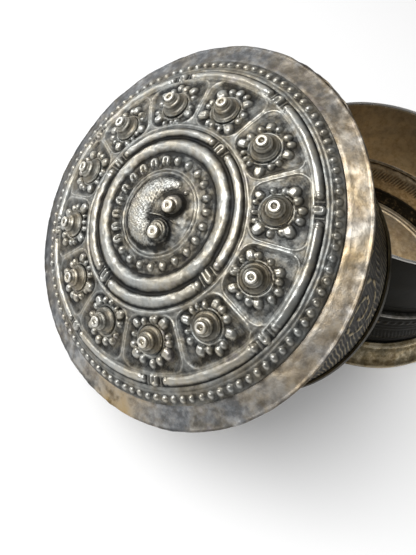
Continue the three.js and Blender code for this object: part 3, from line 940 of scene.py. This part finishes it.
def wall_relief(angle, height, radius):
    """What the graver left standing outside. The inside of the wall is plain."""
    outside = radius > wall_radius - 0.3
    along = angle * wall_radius + 0 * height
    up = height - scroll_middle + 0 * angle
    within = np.clip((scroll_half - np.abs(up)) / 0.6, 0, 1)
    leaves = scrollwork(along, up)
    wander = 3.2 * uneven_round(radius, angle, up, 6.0, 45)
    strokes = (0.5 + 0.5 * np.cos(angle * stroke_count - up * 0.8 + wander)) ** 2
    deep = 0.22 + 0.24 * uneven_round(radius, angle, up, 9.0, 46)
    cut = within * (0.45 * leaves + deep * strokes * (leaves < 0.05))
    return np.where(outside, cut - ground_depth, 0)


def upright(radius, start, end, count):
    """Evenly spaced points on a straight wall, from one height to another."""
    return np.stack([np.full(count, radius), np.linspace(start, end, count)], axis=1)


wall_top = -1.2
corner = 0.2
wall_section = np.concatenate([
    upright(wall_radius, -wall_depth + corner, wall_top - corner, 76),
    [(wall_radius - corner, wall_top), (wall_inner_radius + corner, wall_top)],
    upright(wall_inner_radius, wall_top - corner, -wall_depth + corner, 12),
    [(wall_inner_radius + corner, -wall_depth), (wall_radius - corner, -wall_depth)]])
wall = turned_piece("lid_wall_engraved", wall_section, 1080, engraved_silver, lid_place, wall_relief, 0.35,
                    depth=0.5)
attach(wall, "lid")
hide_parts("lid_wall")

# %% [markdown]
# The mouth of the lid
#
# A plain band stiffens the wall's edge. It has darkened as much as the wall that it is soldered to. Its
# section is a small trapezium with soft corners, spun round as the other rings are.

# %% Mouth band
mouth_section = rounded([
    (wall_radius, -wall_depth), (mouth_radius, -wall_depth), (mouth_radius, -wall_depth + 3.7),
    (wall_radius, -wall_depth + mouth_band_height)], 0.22)
mouth = turned_piece("lid_mouth_band_plain", mouth_section, 360, engraved_silver, lid_place,
                     rubbed=0.42, dents=0.12)
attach(mouth, "lid")
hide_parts("lid_mouth_band")

# %% [markdown]
# The base
#
# The base is built up from rings, as the real one was soldered up: the flared foot, the band that the floor
# closes, the moulding that the lid comes down on, the collar and its rounded lip.
#
# The foot is a hammered cone with a turned ring and two chased lines. Its lowest edge stays flat, because
# it stands on the table: the dents fade out there.

# %% Foot
foot_edge_line = 1.0
foot_top_line = 9.3
foot_section = stepped(rounded([
    (63.3, 0.0), (65.0, 0.0), (65.0, 1.0), (62.6, 3.6), (60.0, 7.4), (57.1, foot_height),
    (56.2, foot_height), (56.2, 9.7), (59.3, 6.6), (61.6, 3.2)], 0.4), 0.7)


def foot_relief(angle, height, radius):
    """Two chased lines and the hammer's dents."""
    lines = (0.25 * half_round(height - foot_edge_line, 0.6)
             + 0.2 * half_round(height - foot_top_line, 0.45))
    dents = 0.3 * uneven_round(radius, angle, height, 5.0, 51)
    return (lines + dents) * np.clip(height, 0, 1)


foot = turned_piece("base_foot_flared", foot_section, 480, foot_silver, base_place, foot_relief)
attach(foot, "base")
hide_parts("base_foot")

# %% [markdown]
# The chased band
#
# The band is a low wall of sheet. Outside it has a row of dots, four lines and a hatched roll, and inside
# a broad ridge, hatched along its upper half. One relief function serves both faces of the sheet: it asks
# which radius a point lies on. Two sculpted strips would do as well, but the hatching has to be even.

# %% Band with its row of dots and its hatched roll
dot_count = 96
dot_row = 28.2
band_lines = (30.6, 25.6, 23.2, 12.9)
hatch_count = 190
roll_middle = 18.0
ridge_middle = 23.5
hatching_middle = 26.5
floor_underside = 5.6


def band_relief(angle, height, radius):
    """Dots, lines and a roll outside, and a broad hatched ridge inside."""
    outside = radius > wall_radius - 0.4
    turn, _ = nearest_copy(angle + 0 * height, dot_count, 0)
    dots = 0.55 * half_round(np.hypot(turn * wall_radius, height - dot_row), 1.3)
    lines = sum(0.35 * half_round(height - at, 0.5) for at in band_lines)
    slant = np.sin(angle * hatch_count + height * 1.4)
    roll = half_round(height - roll_middle, 3.6)
    outer = dots + lines + roll * (0.55 + 0.22 * slant)
    ridge = half_round(height - ridge_middle, 8.5)
    rough = 0.1 * uneven_round(radius, angle, height, 1.6, 52)
    inner = 2.3 * ridge + 0.3 * slant * half_round(height - hatching_middle, 3.0) + rough
    return np.where(outside, outer, inner)


band_section = stepped(rounded([
    (wall_inner_radius, floor_underside), (wall_radius, floor_underside), (wall_radius, seat_bottom),
    (wall_inner_radius, seat_bottom)], 0.2, 2), 0.56)
# Outside the band is kept dark. Inside it is lighter, except below the ridge, where it is painted darker as
# shade under the ridge.
band_plain_and_shade = np.where(band_section[:, :1] > wall_radius - 0.4, 0.0,
                      np.where(band_section[:, 1:] < 16.5, 0.2, 0.5))
band = turned_piece("base_band_chased", band_section, 900, collar_silver, base_place, band_relief,
                    band_plain_and_shade, depth=1.6)
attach(band, "base")
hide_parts("base_band")

# %% [markdown]
# The floor
#
# The floor is a disc, beaten flat by hand and soldered in, with two low rings near its edge. It is one
# skin, from its rim in to its middle, because only its upper face is ever looked at.

# %% Floor
# Each low ring on the floor: its radius, height and half width.
floor_rings = ((49.5, 0.5, 1.1), (52.3, 0.35, 0.7))


def base_floor():
    """A skin that starts with the rim's short step and ends on the axis."""
    radius = np.array([54.6, 54.6, *np.linspace(54.4, 0.05, 110)])[:, None]
    angle = angles(240)
    x, y = radius * np.cos(angle), radius * np.sin(angle)
    ring = sum(rise * half_round(radius - at, half_width) for at, rise, half_width in floor_rings)
    height = floor_height + ring + 0.12 * uneven(x, y, 12.0, 61)
    height[0], height[1] = floor_underside, floor_height
    points = ring_of_sections(radius, height, angle)
    return grid_piece("base_floor_beaten", points, 0.6 + 0.3 * ring, inner_silver, base_place)


floor_piece = base_floor()
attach(floor_piece, "base")
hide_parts("base_floor")

# %% [markdown]
# Seat moulding, collar and lip
#
# The moulding is a half-round wire bent to a ring, and the lid's mouth comes down on it. The collar is a
# plain tube that keeps the lid in its place, and the bead on its edge is rolled over, so that it doesn't
# cut the hand. With no ornament on them, their sections carry all the shape, and one line is cut round the
# collar.

# %% Seat moulding, collar and lip
seat_section = rounded([
    (collar_inner_radius, seat_bottom), (56.4, seat_bottom), (seat_radius, 34.1), (seat_radius, 34.7),
    (56.6, seat_top), (collar_inner_radius, seat_top)], 0.3)
seat = turned_piece("base_seat_moulding", seat_section, 360, edge_silver, base_place, dents=0.04)
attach(seat, "base")
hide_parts("base_seat_ring")


collar_line = 38.7


def collar_relief(angle, height, radius):
    """One cut line outside, and the hammer's long waves on both faces."""
    outside = radius > collar_radius - 0.4
    line = -0.3 * half_round(height - collar_line, 0.45)
    return np.where(outside, line, 0) + 0.1 * uneven_round(radius, angle, height, 8.0, 71)


collar_section = stepped(rounded([
    (collar_inner_radius, seat_top), (collar_radius, seat_top), (collar_radius, collar_top),
    (collar_inner_radius, collar_top)], 0.2, 2), 0.6)
collar_plain = np.where(collar_section[:, :1] > collar_radius - 0.4, 0.0, 0.75)
collar = turned_piece("base_collar_plain", collar_section, 360, collar_silver, base_place, collar_relief,
                      collar_plain, depth=1.6)
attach(collar, "base")
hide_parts("base_collar")

lip_section = rounded([
    (53.5, collar_top), (collar_radius, collar_top), (54.8, 70.15), (54.3, lip_top), (54.0, lip_top),
    (53.5, 70.15)], 0.3)
# The lip is coloured bright: burnished, and a painted highlight along it as well.
lip = turned_piece("base_lip_rounded", lip_section, 360, edge_silver, base_place, rubbed=0.85, dents=0.05)
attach(lip, "base")
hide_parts("base_lip_bead")

# %% [markdown]
# The table, the light and the camera
#
# The table is plain white paper, pressed from pulp. It scatters light evenly, has no gloss, and takes the
# shadow of the box. For the camera and for reflections it is lifted a little, so that paper in full light
# is white. More lamps would whiten it too, but they would wash out the silver.

# %% Table
def seen_rays(tree):
    """Two values: 1 for the camera's own rays, and 1 for those, mirrored rays and rays through glass."""
    path = add(tree, "LightPath")
    direct = add(tree, "Math", {0: path.outputs["Is Camera Ray"], 1: path.outputs["Is Glossy Ray"]},
                 operation="MAXIMUM")
    shown = add(tree, "Math", {0: direct.outputs[0], 1: path.outputs["Is Transmission Ray"]},
                operation="MAXIMUM")
    return path.outputs["Is Camera Ray"], shown.outputs[0]


paper_lift = 0.08
# Uncoated paper: matt, and nearly white.
paper, paper_tree, paper_output = blank_material("white_paper")
_, shown = seen_rays(paper_tree)
lifted = add(paper_tree, "Math", {0: shown, 1: paper_lift}, operation="MULTIPLY")
matt = add(paper_tree, "BsdfDiffuse", {"Color": linear("#f1f1f1")})
glow = add(paper_tree, "Emission", {"Strength": lifted.outputs[0]})
both = add(paper_tree, "AddShader", {0: matt.outputs[0], 1: glow.outputs[0]})
paper_tree.links.new(both.outputs[0], paper_output.inputs["Surface"])
bpy.ops.mesh.primitive_plane_add(size=6)
table = bpy.context.object
table.name = "table"
table.data.materials.append(paper)
print("table:", table.name)

# %% [markdown]
# The glow all round
#
# Metal shows what it mirrors. In an evenly white room silver looks like grey paint, so the glow that it
# mirrors is dimmer toward the right, as in a room with one white wall. The camera sees that room as plain
# white, and matt surfaces get half of that light, so that the paper keeps the shadow of the box.

# %% Surroundings
bright_side = (-0.9, -0.4, 0.0)
dimmest = 0.27
light_on_matt = 0.5
world = bpy.data.worlds.new("studio")
bpy.context.scene.world = world
world.use_nodes = True
sky = world.node_tree
sky.nodes.clear()
by_camera, shown = seen_rays(sky)
toward = add(sky, "VectorMath", {0: add(sky, "TexCoord").outputs["Generated"], 1: bright_side},
             operation="DOT_PRODUCT")
side = add(sky, "MapRange", {"Value": toward.outputs["Value"], "From Min": -0.5, "From Max": 0.6,
                             "To Min": dimmest, "To Max": 1.0})
mirrored = add(sky, "Mix", {0: by_camera, 2: side.outputs[0], 3: 1.0}, data_type="FLOAT")
around = add(sky, "Mix", {0: shown, 2: light_on_matt, 3: mirrored.outputs[0]}, data_type="FLOAT")
glow = add(sky, "Background", {"Color": (1, 1, 1, 1), "Strength": around.outputs[0]})
sky_output = sky.nodes.new("ShaderNodeOutputWorld")
sky.links.new(glow.outputs[0], sky_output.inputs["Surface"])
print("world:", world.name)

# %% [markdown]
# The lamps
#
# One large soft lamp hangs high at the front and shines almost straight on to the top of the lid. What
# faces it is bright and what slopes away is dark, and that draws every form. A small one stands low at the
# left, like a window, and adds thin lights to the left sides of the relief.

# %% Lamps
def soft_lamp(name, place, aim, width, power):
    """A square lamp that looks at a point. Places are in millimetres."""
    light = bpy.data.lights.new(name, "AREA")
    light.shape = "SQUARE"
    light.size = width * MM
    light.energy = power
    lamp = bpy.data.objects.new(name, light)
    bpy.context.collection.objects.link(lamp)
    lamp.location = Vector(place) * MM
    lamp.rotation_euler = (Vector(aim) - Vector(place)).to_track_quat("-Z", "Y").to_euler()
    print("lamp:", name, power, "watts")


soft_lamp("high_front_lamp", (-220, -710, 1180), (0, 0, 40), 900, 16.0)
soft_lamp("left_window_lamp", (-1000, -500, 350), (0, -40, 60), 260, 2.0)

# %% [markdown]
# The camera
#
# The camera stands where the photograph was taken from. Its place and its turn were fitted to the outline
# of the flange, to the pearls and the bosses, and to the rings of the base. Two of its own directions are
# enough to write down, because the third stands square to both.

# %% Camera
camera = bpy.data.cameras.new("camera")
camera.sensor_fit = "HORIZONTAL"
camera.sensor_width = 36.0
camera.lens = 43.85
camera.clip_start = 0.01
view = bpy.data.objects.new("camera", camera)
bpy.context.collection.objects.link(view)
camera_place = Vector((94.385, -139.914, 216.047))
right = Vector((0.51220, 0.84575, 0.14950))
up = Vector((-0.73314, 0.33987, 0.58906))
turn = Matrix((right, up, right.cross(up))).transposed()
view.matrix_world = Matrix.Translation(camera_place * MM) @ turn.to_4x4()
scene = bpy.context.scene
scene.camera = view
scene.view_settings.view_transform = "Standard"
print("camera, mm from the middle:", round(camera_place.length))
